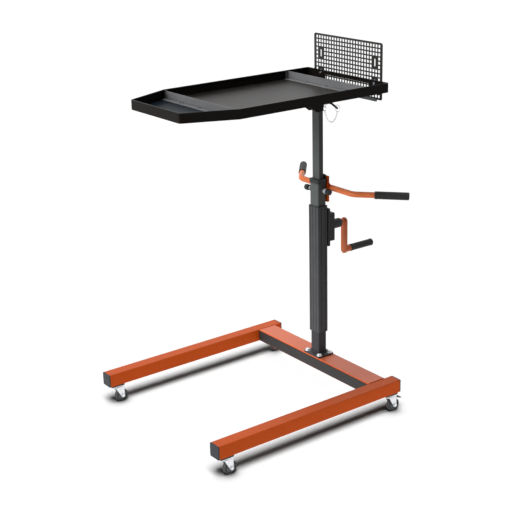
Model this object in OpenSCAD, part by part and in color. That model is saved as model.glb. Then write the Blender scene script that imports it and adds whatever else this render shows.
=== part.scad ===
// Mobile multi-purpose work table: a wheeled U-shaped frame, a three-stage rectangular column
// raised by a crank through a rack and pinion, a handlebar and a divided sheet-metal tray.
// +Z is up and -Y is the open end of the legs, under the tray's tapered nose.

/* [Frame] */
// Outer side of the square leg tube
leg_section = 50; // [48:1:56]
// Wall of the leg tube
leg_wall = 2; // [1.5:0.5:3]
// Outer corner radius of the leg tube
leg_corner = 4; // [3.5:0.5:5]
// Length of a leg over both end caps
leg_length = 825; // [790:5:900]
// Width of the frame over both legs
frame_width = 770; // [700:5:840]
// Column axis to the rear end of the legs
leg_rear = 75; // [70:1:100]
// Depth of the crossbar, front to back
crossbar_depth = 80; // [78:1:88]
// Wall of the crossbar tube
crossbar_wall = 2.5; // [2:0.5:3]
// Thickness of the dark strip on the crossbar's front
strip_t = 2; // [1:0.5:4]
// Thickness of a leg cap's flange
cap_t = 4; // [3:0.5:6]
// Depth of a leg cap's plug inside the tube
cap_plug = 14; // [8:1:20]
// Thickness of the base plate
base_plate_t = 6; // [5:0.5:8]
// Width of the base plate
base_plate_w = 92; // [90:1:100]
// Depth of the base plate
base_plate_d = 75; // [72:1:77]

/* [Casters] */
// Diameter of a caster wheel
wheel_d = 50; // [46:1:51]
// Width of the tyre
wheel_w = 18; // [16:1:20]
// Diameter of the wheel body inside the tyre
rim_d = 35; // [32:1:38]
// Diameter of the axle bolt
axle_d = 8; // [6:0.5:8]
// Height of a caster without its pad
caster_height = 73; // [72:1:80]
// Thickness of the pad between leg and caster
pad_t = 5; // [3:0.5:8]
// Swivel axis to the end of the leg
caster_inset = 38; // [34:1:60]
// Swivel axis to the axle, seen from above
trail = 22; // [20:1:24]
// Sheet thickness of plate and fork
caster_sheet = 2.5; // [2:0.5:3]
// Width of the caster's top plate, across the leg
plate_w = 46; // [44:1:46]
// Length of the caster's top plate
plate_l = 56; // [54:1:60]
// Length of a brake pedal from its pin
pedal_reach = 36; // [30:1:40]

/* [Column] */
// Width of the outer column
column_w = 57; // [56:0.5:58]
// Depth of the outer column
column_d = 47; // [46:0.5:48]
// Wall of the outer column
column_wall = 3; // [2.75:0.25:3]
// Depth of the grooves in the outer column
groove_t = 1.2; // [0.8:0.1:1.4]
// Length of the outer column
column_length = 506; // [490:2:540]
// Length of the base post that stays in view
post_exposed = 90; // [80:1:100]
// Width of the base post and of the inner column
inner_w = 48; // [47:0.5:48.5]
// Depth of the base post and of the inner column
inner_d = 38; // [37:0.5:38.5]
// Wall of the base post and of the inner column
inner_wall = 2.5; // [2:0.25:2.5]
// How much shorter the inner column is than the outer one
inner_shorter = 40; // [36:2:60]
// Inner column left in view above the outer one
inner_exposed = 96; // [92:1:110]
// Width of the upper tube
upper_w = 40; // [37:0.5:40]
// Depth of the upper tube
upper_d = 20; // [18:0.5:22]
// Wall of the upper tube
upper_wall = 2; // [1.5:0.25:2.5]
// Depth of the upper tube inside the inner column
upper_inside = 206; // [190:2:230]
// Upper tube in view between the inner column and the tray's bracket
upper_exposed = 266; // [262:1:300]
// Travel of the inner column below the height shown
lift_down = 25; // [5:1:25]

/* [Rack drive] */
// Gear module of the rack and the pinion
gear_module = 1.5; // [1.4:0.05:1.5]
// Number of pinion teeth
pinion_teeth = 18; // [18:1:18]
// Rack teeth below the pinion
teeth_below = 55; // [52:1:55]
// Rack teeth above the pinion
teeth_above = 11; // [9:1:11]
// Width of the pinion teeth
pinion_w = 5; // [4:0.5:5.5]
// Width of the rack, front to back
rack_d = 10; // [9.5:0.25:10]
// Height of the gearbox plate
gearplate_h = 148; // [140:1:148]
// Width of the gearbox plate
gearplate_w = 64; // [62:1:70]
// Thickness of the gearbox plate
gearplate_t = 9; // [9:0.5:11]
// Height of the gearbox housing
housing_h = 110; // [100:1:114]
// Width of the gearbox housing
housing_w = 58; // [56:1:60]
// Depth of the gearbox housing
housing_d = 25; // [22:1:30]
// Wall of the gearbox housing
housing_wall = 4; // [3:0.5:5]
// Diameter of the crank shaft
shaft_d = 12; // [11:0.5:13]
// Length of the crank hub
hub_length = 50; // [40:1:56]
// Diameter of the crank hub
hub_d = 36; // [32:1:40]
// Crank radius, from shaft to grip
crank_radius = 114; // [90:1:125]
// Width of the crank arm
arm_w = 30; // [26:1:34]
// Thickness of the crank arm
arm_t = 8; // [6:0.5:10]
// Length of the crank grip
crank_grip_l = 115; // [90:1:130]
// Diameter of the crank grip
crank_grip_d = 28; // [24:1:30]

/* [Handlebar] */
// Diameter of the handlebar tube
bar_d = 22; // [19:0.5:24]
// Wall of the handlebar tube
bar_wall = 1.5; // [1:0.25:2]
// Column axis to the start of each bend of the handlebar
bar_straight = 133; // [120:1:150]
// Length of the bar from the bend's corner to its tip
bar_arm = 203; // [190:1:230]
// Bend radius of the handlebar
bar_bend = 45; // [40:1:55]
// Length of a handlebar grip
grip_length = 125; // [110:1:140]
// Diameter of a handlebar grip
grip_d = 29; // [28:0.5:33]
// Height of the handlebar plate
barplate_h = 100; // [96:1:100]
// Width of the handlebar plate
barplate_w = 60; // [56:1:66]
// Thickness of the handlebar plate
barplate_t = 6; // [5:0.5:8]

/* [Tray] */
// Width of the tray
tray_w = 456; // [430:2:500]
// Width of the tapered nose
nose_w = 300; // [260:2:330]
// Column axis to the tray's rear
tray_rear = 142; // [136:1:160]
// Column axis to the corners where the taper starts
tray_taper = 512; // [480:2:540]
// Column axis to the tray's nose
tray_nose = 695; // [660:5:720]
// Height of the tray wall
tray_h = 34; // [33:0.5:40]
// Thickness of the tray sheet
tray_t = 1.5; // [1:0.25:2]
// Inward width of the folded rim
hem_w = 5; // [4:0.5:7]
// Height of the folded rim
hem_h = 3; // [2:0.5:4]
// Bend radius of the tray's upright corners
tray_corner = 9; // [8:1:12]
// Column axis to the rear divider
rear_divider_y = 43; // [36:1:60]
// Width of a divider's foot flange
divider_foot = 20; // [18:1:24]
// Height of the bracket below the tray
bracket_h = 80; // [76:1:86]
// Reach of the bracket's gussets in front of the column axis
bracket_front = 122; // [110:1:140]

/* [Tool panel] */
// Spacing of the square holes
hole_pitch = 15; // [14.8:0.1:15.2]
// Side of a square hole
hole_side = 10; // [8:0.5:11]
// Columns of holes
panel_columns = 24; // [24:2:26]
// Rows of holes
panel_rows = 13; // [12:1:13]
// Solid border beside the holes
panel_side = 12.5; // [10:0.5:15]
// Solid border above and below the holes
panel_edge = 7.5; // [6:0.5:10]
// Thickness of the panel
panel_t = 1.5; // [1:0.25:2]
// Length of the panel below the tray's underside
panel_below = 36; // [35:0.5:37]
// Length of the bottom rail
rail_length = 320; // [280:2:340]

/* [Lock pin] */
// Diameter of the lock pin
pin_d = 8; // [6:0.5:8]
// Column axis to the bend of the pin
pin_reach = 62; // [60:1:70]
// Length of the pin's handle
pin_handle = 42; // [38:1:46]
// Droop of the pin's handle below level, in degrees
pin_droop = 22; // [18:1:24]
// Radius of the pin's ring
ring_r = 13; // [12:0.5:14]
// Wire of a chain link
link_wire = 1.4; // [1.3:0.1:1.6]
// Number of chain links
link_count = 17; // [17:2:19]

/* [Hidden] */
$fn = 48;

// Overrun of every cut, gap between moving flat faces, and fit of round pieces
over = 1;
gap = 0.3;
fit = 0.05;
arc_steps = 5;

// Heights above the floor
leg_height = caster_height + pad_t;
leg_top = leg_height + leg_section;
post_bottom = leg_top + base_plate_t;
column_bottom = post_bottom + post_exposed;
column_top = column_bottom + column_length;
inner_top = column_top + inner_exposed;
inner_length = column_length - inner_shorter;
inner_bottom = inner_top - inner_length;
bracket_bottom = inner_top + upper_exposed;
tray_bottom = bracket_bottom + bracket_h;
tray_floor = tray_bottom + tray_t;
tray_top = tray_bottom + tray_h;
post_inside = 80;
post_top = column_bottom + post_inside;

// Places of the drive along Y, from the column axis
column_back = column_d / 2;
gearplate_back = column_back + gearplate_t;
housing_back = gearplate_back + housing_d;
hub_front = housing_back + gap;
hub_back = hub_front + hub_length;
boss_d = 24;
boss_length = 18;
arm_front = hub_back + boss_length;
arm_back = arm_front + arm_t;
nut_t = 6;
nut_flats = 17;
thread_d = 9;
collar_length = 23;
collar_d = 26;
collar_back = arm_back + collar_length;
spindle_d = 10;
grip_front = collar_back + gap;
grip_back = grip_front + crank_grip_l;
grip_end = 6;
grip_round = 4;
grip_waist = 0.75;
hub_chamfer = 2;
hub_groove = 3;
hub_ribs = 4;
leg_front = leg_length - leg_rear;
column_y = (leg_front - grip_back) / 2;

// Rack and pinion
pressure_angle = 20;
dedendum_share = 1.25;
pitch_r = gear_module * pinion_teeth / 2;
tip_r = pitch_r + gear_module;
root_r = pitch_r - dedendum_share * gear_module;
base_r = pitch_r * cos(pressure_angle);
tooth_pitch = PI * gear_module;
backlash = 0.16;
tooth_t = tooth_pitch / 2 - backlash;
flank_steps = 4;
rack_body = 6;
rack_tip_x = -pitch_r + gear_module;
rack_root_x = -pitch_r - dedendum_share * gear_module;
rack_back_x = rack_root_x - rack_body;
shaft_drop = 88;
shaft_z = column_top - shaft_drop;
rack_bottom = shaft_z - teeth_below * tooth_pitch;
rack_top = shaft_z + teeth_above * tooth_pitch;
rack_front = inner_d / 2;
rack_rear = rack_front + rack_d;
slot_gap = 1;
slot_left = rack_back_x - slot_gap;
slot_right = rack_tip_x + slot_gap;
slot_bottom = rack_bottom - lift_down - slot_gap;
pinion_front = column_back + gap;
pocket_back = pinion_front + pinion_w + gap;
channel_back = max(pocket_back, rack_rear + slot_gap);
bush_t = 2;
brake_d = 40;
brake_t = 10;
brake_front = gearplate_back + gap;
gearplate_drop = 11;
gearplate_top = column_top - gearplate_drop;
gearplate_bottom = gearplate_top - gearplate_h;

// Screws and grooves of the outer column
screw_d = 4;
screw_head = 8;
screw_head_t = 3;
screw_side = 25.5;
screw_edge = 6;
post_screw_x = 14;
post_screw_low = 20;
post_screw_high = 60;
groove_x = 16;
groove_wide = 8;
groove_narrow = 6;
groove_side_y = 9;

// Casters: places of the swivel axes
swivel_x = frame_width / 2 - leg_section / 2;
front_y = -leg_front + caster_inset;
rear_y = leg_rear - caster_inset;
fork_gap = 1.5;
fork_half = wheel_w / 2 + fork_gap + caster_sheet;
wheel_clear = 10;
crown_bottom = wheel_d + wheel_clear;
crown_top = crown_bottom + caster_sheet;
plate_bottom = caster_height - caster_sheet;
king_d = 10;
king_cover = 1;
race_d = 30;
race_step = 4;
fork_foot = 8;
crown_r = 15;
crown_rear = trail + fork_foot;
axle_nut = 12;
axle_nut_t = 4;
pedal_pin_d = 3;
pedal_eye_d = 5;
pedal_y = trail + caster_sheet;
pedal_z = crown_bottom - pedal_eye_d / 2 - fork_gap;
pedal_t = 2.5;
pedal_slope = 20;
pedal_rib_share = 0.4;
plate_bolt_inset = 6;
plate_bolt_flats = 7;
plate_bolt_h = 3;

// Base bolts
base_bolt_d = 10;
base_bolt_flats = 17;
base_bolt_h = 6.4;
base_bolt_inset = 11;
base_bolt_below = 12;

// Guides and the top of the inner column
slide_guide_h = 20;
upper_guide_h = 40;
guide_rim = 2;
mast_guide_h = 60;
foot_guide_h = 20;
collar_skirt = 6;
collar_cap = 10;
collar_wall = 2;
block_w = 34;
block_d = 5;
block_rise = 24;
block_drop = 66;
barplate_drop = 81;
barplate_bottom = inner_top - barplate_drop;
barplate_front = inner_d / 2 + block_d;
barplate_back = barplate_front + barplate_t;
bar_drop = 28;
bar_z = inner_top - bar_drop;
bar_y = barplate_back + bar_d / 2;
// Each bend turns by the angle of a triangle with whole sides, so the bend and the arm meet exactly
bend_sides = [11753, 10296];
bar_angle = atan2(bend_sides[1], bend_sides[0]);
bend_run = bar_bend * tan(bar_angle / 2);
bar_half = bar_straight + bend_run;
saddle_w = 44;
saddle_h = 30;
bar_bolt_d = 8;
bar_bolt_flats = 13;
bar_bolt_h = 5;
bar_bolt_x = 9;
bar_bolt_inset = 14;
bar_bolt_in = 7;
bar_grip_cap = 3;
bar_grip_dip = 0.4;
bar_grip_rings = 9;

// Clamp screws
clamp_drop = 34;
clamp_z = inner_top - clamp_drop;
clamp_y = 7;
clamp_d = 8;
clamp_tip_d = 5;
clamp_boss_d = 20;
clamp_boss_t = 8;
clamp_shank = 12;
clamp_neck_d = 13;
clamp_knob_d = 22;
clamp_knob_t = 17;
flute_count = 6;
flute_d = 6;

// Tray bracket, window and dividers
bracket_t = 2.5;
bracket_plate_t = 3;
bracket_half = 45;
bracket_rear = 24;
bracket_toe = 6;
bracket_rim = 10;
divider_end = 12;
divider_gap = 0.5;
divider_bolt_x = 108;
window_half = 124;
window_low = 3;
window_h = 15;
bolt_d = 6;
bolt_flats = 10;
bolt_head_t = 4;
bolt_nut_t = 5;
washer_d = 16;
washer_t = 1.5;

// Tool panel
panel_w = (panel_columns - 1) * hole_pitch + hole_side + 2 * panel_side;
panel_h = (panel_rows - 1) * hole_pitch + hole_side + 2 * panel_edge;
panel_bottom = tray_bottom - panel_below;
panel_corner = 8;
panel_row_z = panel_bottom + panel_edge + hole_side / 2;
slot_rows = [3, 8];
slot_w = 7;
slot_h = 28;
slot_x = (panel_columns / 2 - 2) * hole_pitch;
wall_bolt_z = panel_row_z + slot_rows[0] * hole_pitch;
rail_d = 6;
rail_h = 12;
rail_grip = 5;

// Lock pin, its anchor and the chain
pin_rise = 20;
pin_z = bracket_bottom + pin_rise;
pin_tip = 14;
pin_bend = 9;
ring_wire = 1.8;
ring_hole = 3.6;
handle_end = [pin_handle * cos(pin_droop), pin_reach, pin_z - pin_handle * sin(pin_droop)];
eye_x = 15;
eye_drop = 4;
eye_r = 5.5;
eye_wire = 2.6;
eye_stem = 4;
split_r = 8;
split_wire = 1.5;
link_r = 2.6;
link_straight = 3;
link_gap = 0.9;
split_y = upper_d / 2 + bracket_t + eye_stem + eye_r;
eye_z = pin_z - eye_drop;
split_z = eye_z - eye_r + eye_wire / 2 + split_wire / 2 + link_gap - split_r;

module stand() {
    translate([0, column_y, 0]) children();
}

// Rectangle with true arcs at its corners, centred
module round_rect(w, d, r) {
    square([w - 2 * r, d], center = true);
    square([w, d - 2 * r], center = true);
    for (x = [-1, 1], y = [-1, 1])
        translate([x * (w / 2 - r), y * (d / 2 - r)]) circle(r);
}

// Upright rectangular tube from z0 to z1
module tube(w, d, wall, r, z0, z1) {
    translate([0, 0, z0]) linear_extrude(z1 - z0) difference() {
        round_rect(w, d, r);
        round_rect(w - 2 * wall, d - 2 * wall, max(r - wall, r / 4));
    }
}

// Sleeve between an outer and an inner rectangle, from z0 to z1
module sleeve(outer, inner, r, z0, z1) {
    translate([0, 0, z0]) linear_extrude(z1 - z0) difference() {
        round_rect(outer[0], outer[1], r);
        square(inner, center = true);
    }
}

// A shape drawn in X and Z, extruded along +Y from y
module upright(y, depth) {
    translate([0, y + depth, 0]) rotate([90, 0, 0]) linear_extrude(depth) children();
}

// A shape drawn in Y and Z, extruded along +X from x
module sideways(x, width) {
    translate([x, 0, 0]) rotate([90, 0, 90]) linear_extrude(width) children();
}

module rod_x(d, x0, x1) {
    translate([x0, 0, 0]) rotate([0, 90, 0]) cylinder(d = d, h = x1 - x0);
}

module rod_y(d, y0, y1) {
    translate([0, y0, 0]) rotate([-90, 0, 0]) cylinder(d = d, h = y1 - y0);
}

module both_sides() {
    children();
    mirror([1, 0, 0]) children();
}

// Hexagon head or nut, measured across its flats
module hexagon(flats, h) {
    cylinder(d = flats / cos(30), h = h, $fn = 6);
}

// An outline with every corner rounded by an arc; its points run anticlockwise
function unit(v) = v / norm(v);
function corner_arc(a, b, c, r) =
    let (u = unit(a - b), v = unit(c - b), half = acos(u * v) / 2)
    let (p = b + u * (r / tan(half)), mid = b + unit(u + v) * (r / sin(half)))
    let (start = atan2(p[1] - mid[1], p[0] - mid[0]), turn = 180 - 2 * half)
    [for (i = [0:arc_steps]) let (t = start + turn * i / arc_steps) mid + r * [cos(t), sin(t)]];
function rounded(pts, r) =
    [for (i = [0:len(pts) - 1]) each corner_arc(pts[(i + len(pts) - 1) % len(pts)], pts[i],
        pts[(i + 1) % len(pts)], r)];

// Frame

module leg(x) {
    stand() color("orangered")
        translate([x, leg_rear - cap_t, leg_height + leg_section / 2]) rotate([90, 0, 0])
            tube(leg_section, leg_section, leg_wall, leg_corner, 0, leg_length - 2 * cap_t);
}

module leg_left() {
    leg(-swivel_x);
}

module leg_right() {
    leg(swivel_x);
}

module base_bolt_places() {
    for (x = [-1, 1], y = [-1, 1])
        translate([x * (base_plate_w / 2 - base_bolt_inset),
            y * (base_plate_d / 2 - base_bolt_inset), 0]) children();
}

module crossbar() {
    half = frame_width / 2 - leg_section;
    stand() color("orangered") difference() {
        translate([-half, 0, leg_height + leg_section / 2]) rotate([90, 0, 90])
            tube(crossbar_depth, leg_section, crossbar_wall, leg_corner, 0, 2 * half);
        base_bolt_places() translate([0, 0, leg_top - base_bolt_below - over])
            cylinder(d = base_bolt_d + 2 * fit, h = base_bolt_below + 2 * over);
    }
}

module crossbar_strip() {
    half = frame_width / 2 - leg_section - gap;
    stand() color("dimgray")
        translate([-half, -crossbar_depth / 2 - strip_t, leg_height + leg_corner])
            cube([2 * half, strip_t, leg_section - 2 * leg_corner]);
}

// A plastic leg cap: a flange and a hollow plug with a rib across it
module leg_cap() {
    plug = leg_section - 2 * leg_wall - 2 * fit;
    linear_extrude(cap_t) round_rect(leg_section, leg_section, leg_corner);
    tube(plug, plug, leg_wall, leg_corner - leg_wall, cap_t, cap_t + cap_plug);
    translate([-leg_wall / 2, -plug / 2 + leg_wall / 2, cap_t])
        cube([leg_wall, plug - leg_wall, cap_plug]);
}

module leg_caps() {
    stand() color("darkslategray") for (x = [-swivel_x, swivel_x]) {
        translate([x, -leg_front, leg_height + leg_section / 2]) rotate([-90, 0, 0]) leg_cap();
        translate([x, leg_rear, leg_height + leg_section / 2]) rotate([90, 0, 0]) leg_cap();
    }
}

// Casters

module at_casters() {
    for (x = [-swivel_x, swivel_x], y = [front_y, rear_y])
        translate([x, y, 0]) children();
}

module caster_pads() {
    stand() color("black") at_casters() translate([0, 0, caster_height]) linear_extrude(pad_t)
        round_rect(plate_w, plate_l, leg_corner);
}

// Top plates, each with the upper race of its swivel and the heads of its bolts
module caster_plates() {
    bolt_x = plate_w / 2 - plate_bolt_inset;
    bolt_y = plate_l / 2 - plate_bolt_inset;
    race_bottom = crown_top + gap;
    race_mid = (race_bottom + plate_bottom) / 2;
    stand() color("silver") at_casters() difference() {
        union() {
            translate([0, 0, plate_bottom]) linear_extrude(caster_sheet)
                round_rect(plate_w, plate_l, leg_corner);
            translate([0, 0, race_mid]) cylinder(d = race_d, h = plate_bottom - race_mid);
            translate([0, 0, race_bottom])
                cylinder(d1 = race_d - race_step, d2 = race_d, h = race_mid - race_bottom);
            for (x = [-bolt_x, bolt_x], y = [-bolt_y, bolt_y])
                translate([x, y, plate_bottom - plate_bolt_h])
                    hexagon(plate_bolt_flats, plate_bolt_h);
        }
        translate([0, 0, crown_top])
            cylinder(d = king_d + 2 * fit, h = caster_height - king_cover - crown_top);
    }
}

// Fork side drawn in Y and Z; a rear caster's has the hole of the pedal's pin
module fork_side(pedal) {
    difference() {
        union() {
            polygon([[-crown_r / 2, crown_top], [crown_rear, crown_top],
                [trail + fork_foot, wheel_d / 2], [trail - fork_foot, wheel_d / 2]]);
            translate([trail, wheel_d / 2]) circle(fork_foot);
        }
        if (pedal) translate([pedal_y, pedal_z]) circle(d = pedal_pin_d + 2 * fit);
    }
}

// Swivel fork with its kingpin, axle bolt and axle nuts
module fork(x, y, pedal) {
    nut_half = fork_half + axle_nut_t;
    king_top = caster_height - king_cover - gap;
    stand() color("lightgray") translate([x, y, 0]) {
        sideways(-fork_half, caster_sheet) fork_side(pedal);
        sideways(fork_half - caster_sheet, caster_sheet) fork_side(pedal);
        translate([-fork_half, -crown_r / 2, crown_bottom])
            cube([2 * fork_half, crown_r / 2 + crown_rear, caster_sheet]);
        translate([0, 0, crown_bottom]) cylinder(r = crown_r, h = caster_sheet);
        translate([0, 0, crown_top]) cylinder(d = king_d, h = king_top - crown_top);
        translate([0, trail, wheel_d / 2]) {
            rod_x(axle_d, -nut_half, nut_half);
            both_sides() translate([fork_half, 0, 0]) rotate([0, 90, 0])
                hexagon(axle_nut, axle_nut_t);
        }
    }
}

module fork_front_left() {
    fork(-swivel_x, front_y, false);
}

module fork_front_right() {
    fork(swivel_x, front_y, false);
}

module fork_rear_left() {
    fork(-swivel_x, rear_y, true);
}

module fork_rear_right() {
    fork(swivel_x, rear_y, true);
}

// Wheel body: bearing boss, web and rim, turned about the axle
module wheel(x, y) {
    bore = axle_d / 2 + fit;
    boss_r = axle_d;
    rim_r = rim_d / 2;
    rim_t = rim_d / 14;
    half = wheel_w / 2;
    web = wheel_w / 8;
    rim_half = half - rim_t;
    stand() color("gray") translate([x, y + trail, wheel_d / 2]) rotate([0, 90, 0])
        rotate_extrude() polygon([[bore, -half], [boss_r, -half], [boss_r, -web],
            [rim_r - rim_t, -web], [rim_r - rim_t, -rim_half], [rim_r, -rim_half],
            [rim_r, rim_half], [rim_r - rim_t, rim_half], [rim_r - rim_t, web],
            [boss_r, web], [boss_r, half], [bore, half]]);
}

module wheel_front_left() {
    wheel(-swivel_x, front_y);
}

module wheel_front_right() {
    wheel(swivel_x, front_y);
}

module wheel_rear_left() {
    wheel(-swivel_x, rear_y);
}

module wheel_rear_right() {
    wheel(swivel_x, rear_y);
}

// Tyre with rounded shoulders, seated on the wheel's rim
module tyre(x, y) {
    half = wheel_w / 2;
    shoulder = wheel_w / 6;
    seat = rim_d / 2 + fit;
    crown = wheel_d / 2;
    stand() color("dimgray") translate([x, y + trail, wheel_d / 2]) rotate([0, 90, 0])
        rotate_extrude() {
            translate([seat, -half + shoulder]) square([crown - seat, wheel_w - 2 * shoulder]);
            translate([seat, -half]) square([crown - shoulder - seat, wheel_w]);
            for (side = [-1, 1])
                translate([crown - shoulder, side * (half - shoulder)]) circle(shoulder);
        }
}

module tyre_front_left() {
    tyre(-swivel_x, front_y);
}

module tyre_front_right() {
    tyre(swivel_x, front_y);
}

module tyre_rear_left() {
    tyre(-swivel_x, rear_y);
}

module tyre_rear_right() {
    tyre(swivel_x, rear_y);
}

// Foot pedal of a rear caster: a pin in the fork, an arm over the wheel and a ribbed tread
module brake_pedal(x) {
    rib = pedal_t * pedal_rib_share;
    stand() color("dimgray") translate([x, rear_y + pedal_y, pedal_z]) {
        rod_x(pedal_pin_d, -fork_half, fork_half);
        sideways(-wheel_w / 2, wheel_w) {
            circle(d = pedal_eye_d);
            rotate(-pedal_slope) {
                translate([0, -pedal_t / 2]) square([pedal_reach, pedal_t]);
                for (i = [1:3])
                    translate([pedal_reach - i * 2 * pedal_t, -pedal_t / 2])
                        square([pedal_t, pedal_t + rib]);
            }
        }
    }
}

module brake_pedal_left() {
    brake_pedal(-swivel_x);
}

module brake_pedal_right() {
    brake_pedal(swivel_x);
}

// Post and outer column

module post_screw_places() {
    for (x = [-post_screw_x, post_screw_x], z = [post_screw_low, post_screw_high])
        translate([x, 0, column_bottom + z]) children();
}

// Base plate with the post that stands on it
module base_post() {
    stand() color("slategray") difference() {
        union() {
            translate([0, 0, leg_top]) linear_extrude(base_plate_t)
                round_rect(base_plate_w, base_plate_d, leg_corner);
            tube(inner_w, inner_d, inner_wall, leg_corner, post_bottom, post_top);
        }
        base_bolt_places() translate([0, 0, leg_top - over])
            cylinder(d = base_bolt_d + 2 * fit, h = base_plate_t + 2 * over);
        post_screw_places() rod_y(screw_d + 2 * fit, 0, column_back);
    }
}

// Bolts through the base plate and the crossbar's top wall
module base_bolts() {
    stand() color("silver") base_bolt_places() {
        translate([0, 0, post_bottom]) hexagon(base_bolt_flats, base_bolt_h);
        translate([0, 0, leg_top - base_bolt_below])
            cylinder(d = base_bolt_d, h = base_bolt_below + base_plate_t);
    }
}

// Section of the outer column, with its grooves
module column_section() {
    difference() {
        round_rect(column_w, column_d, leg_corner);
        square([column_w - 2 * column_wall, column_d - 2 * column_wall], center = true);
        translate([-groove_wide / 2, -column_back - over]) square([groove_wide, groove_t + over]);
        for (x = [-groove_x, groove_x])
            translate([x - groove_narrow / 2, -column_back - over])
                square([groove_narrow, groove_t + over]);
        for (x = [-column_w / 2 - over, column_w / 2 - groove_t], y = [-groove_side_y, groove_side_y])
            translate([x, y - groove_narrow / 2]) square([groove_t + over, groove_narrow]);
    }
}

module gear_screw_places() {
    for (x = [-screw_side, screw_side])
        for (z = [gearplate_bottom + screw_edge, gearplate_top - screw_edge])
            translate([x, 0, z]) children();
}

// Room that the rack needs, from one depth to another
module rack_slot(y0, y1, z0, z1) {
    translate([slot_left, y0, z0]) cube([slot_right - slot_left, y1 - y0, z1 - z0]);
}

module outer_column() {
    stand() color("slategray") difference() {
        translate([0, 0, column_bottom]) linear_extrude(column_length) column_section();
        rack_slot(0, column_back + over, slot_bottom, column_top + over);
        post_screw_places() rod_y(screw_d + 2 * fit, 0, column_back + over);
        gear_screw_places()
            rod_y(screw_d + 2 * fit, column_back - column_wall, column_back + over);
    }
}

// Screws that hold the column on its post, and the gearbox plate on the column
module column_screws() {
    stand() color("silver") {
        post_screw_places() {
            rod_y(screw_d, inner_d / 2 - inner_wall, column_back);
            rod_y(screw_head, column_back, column_back + screw_head_t);
        }
        gear_screw_places() {
            rod_y(screw_d, column_back - column_wall + fit, gearplate_back);
            rod_y(screw_head, gearplate_back, gearplate_back + screw_head_t);
        }
    }
}

// Plastic guides in the outer column: a fixed spacer on the post and a sliding seat on top
module column_guides() {
    room = [column_w - 2 * column_wall, column_d - 2 * column_wall];
    snug = [2 * fit, 2 * fit];
    loose = [2 * gap, 2 * gap];
    core = [inner_w, inner_d];
    stand() color("ivory") {
        difference() {
            sleeve(room - snug, core + snug, fit, column_bottom, post_top);
            post_screw_places() rod_y(screw_d + 2 * fit, 0, column_back);
        }
        difference() {
            union() {
                sleeve(room - snug, core + loose, fit, column_top - upper_guide_h, column_top);
                sleeve([column_w, column_d], core + loose, leg_corner, column_top,
                    column_top + guide_rim);
            }
            rack_slot(0, column_back + over, column_top - upper_guide_h - over,
                column_top + guide_rim + over);
        }
    }
}

// Rack drive

function involute(a) = tan(a) * 180 / PI - a;
function tooth_half(r) = tooth_t / 2 / pitch_r * 180 / PI + involute(pressure_angle)
    - involute(acos(min(1, base_r / r)));
function polar(r, a) = [r * cos(a), r * sin(a)];
flank_r = [for (i = [0:flank_steps]) base_r + (tip_r - base_r) * i / flank_steps];
pinion_outline = [for (k = [0:pinion_teeth - 1]) let (a = 180 + k * 360 / pinion_teeth)
    each concat([polar(root_r, a - tooth_half(base_r))],
        [for (r = flank_r) polar(r, a - tooth_half(r))],
        [for (i = [flank_steps:-1:0]) polar(flank_r[i], a + tooth_half(flank_r[i]))],
        [polar(root_r, a + tooth_half(base_r))])];

// Pinion cut in one piece with the crank shaft
module pinion_shaft() {
    stand() color("silver") translate([0, 0, shaft_z]) {
        upright(pinion_front, pinion_w) polygon(pinion_outline);
        rod_y(shaft_d, pinion_front, arm_back);
        rod_y(thread_d, arm_back, arm_back + nut_t + over);
    }
}

function rack_tooth(k) =
    let (z = shaft_z + (k + 0.5) * tooth_pitch, slope = tan(pressure_angle))
    let (root = tooth_t / 2 + dedendum_share * gear_module * slope)
    let (tip = tooth_t / 2 - gear_module * slope)
    [[rack_root_x, z - root], [rack_tip_x, z - tip], [rack_tip_x, z + tip],
        [rack_root_x, z + root]];
rack_outline = concat([[rack_back_x, rack_top], [rack_back_x, rack_bottom],
    [rack_root_x, rack_bottom]],
    [for (k = [-teeth_below:teeth_above - 1]) each rack_tooth(k)], [[rack_root_x, rack_top]]);

module lift_rack() {
    stand() color("silver") upright(rack_front, rack_d) polygon(rack_outline);
}

// Plate between column and housing, with the rack's channel and the pinion's pocket
module gearbox_plate() {
    stand() color("dimgray") difference() {
        translate([-gearplate_w / 2, column_back, gearplate_bottom])
            cube([gearplate_w, gearplate_t, gearplate_h]);
        rack_slot(column_back - over, channel_back, gearplate_bottom - over,
            gearplate_top + over);
        translate([0, 0, shaft_z]) {
            rod_y(2 * (tip_r + slot_gap), column_back - over, pocket_back);
            rod_y(shaft_d + 2 * bush_t + 2 * fit, column_back, gearplate_back + over);
        }
        gear_screw_places() rod_y(screw_d + 2 * fit, column_back - over, gearplate_back + over);
    }
}

module gearbox_housing() {
    inner_half = housing_w / 2 - housing_wall;
    low = shaft_z - housing_h / 2;
    stand() color("dimgray") difference() {
        upright(gearplate_back, housing_d) translate([0, shaft_z])
            round_rect(housing_w, housing_h, leg_corner);
        translate([-inner_half, gearplate_back - over, low + housing_wall])
            cube([2 * inner_half, housing_d - housing_wall + over, housing_h - 2 * housing_wall]);
        translate([0, 0, shaft_z])
            rod_y(shaft_d + 2 * bush_t + 2 * fit, gearplate_back, housing_back + over);
    }
}

// Plain bushes of the shaft, in the plate and in the housing's rear wall
module shaft_bushes() {
    stand() color("goldenrod") translate([0, 0, shaft_z]) difference() {
        union() {
            rod_y(shaft_d + 2 * bush_t, pocket_back, gearplate_back);
            rod_y(shaft_d + 2 * bush_t, housing_back - housing_wall, housing_back);
        }
        rod_y(shaft_d + 2 * fit, column_back, housing_back + over);
    }
}

module brake_disc() {
    stand() color("gray") translate([0, 0, shaft_z]) difference() {
        rod_y(brake_d, brake_front, brake_front + brake_t);
        rod_y(shaft_d + 2 * fit, brake_front - over, brake_front + brake_t + over);
    }
}

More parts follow.
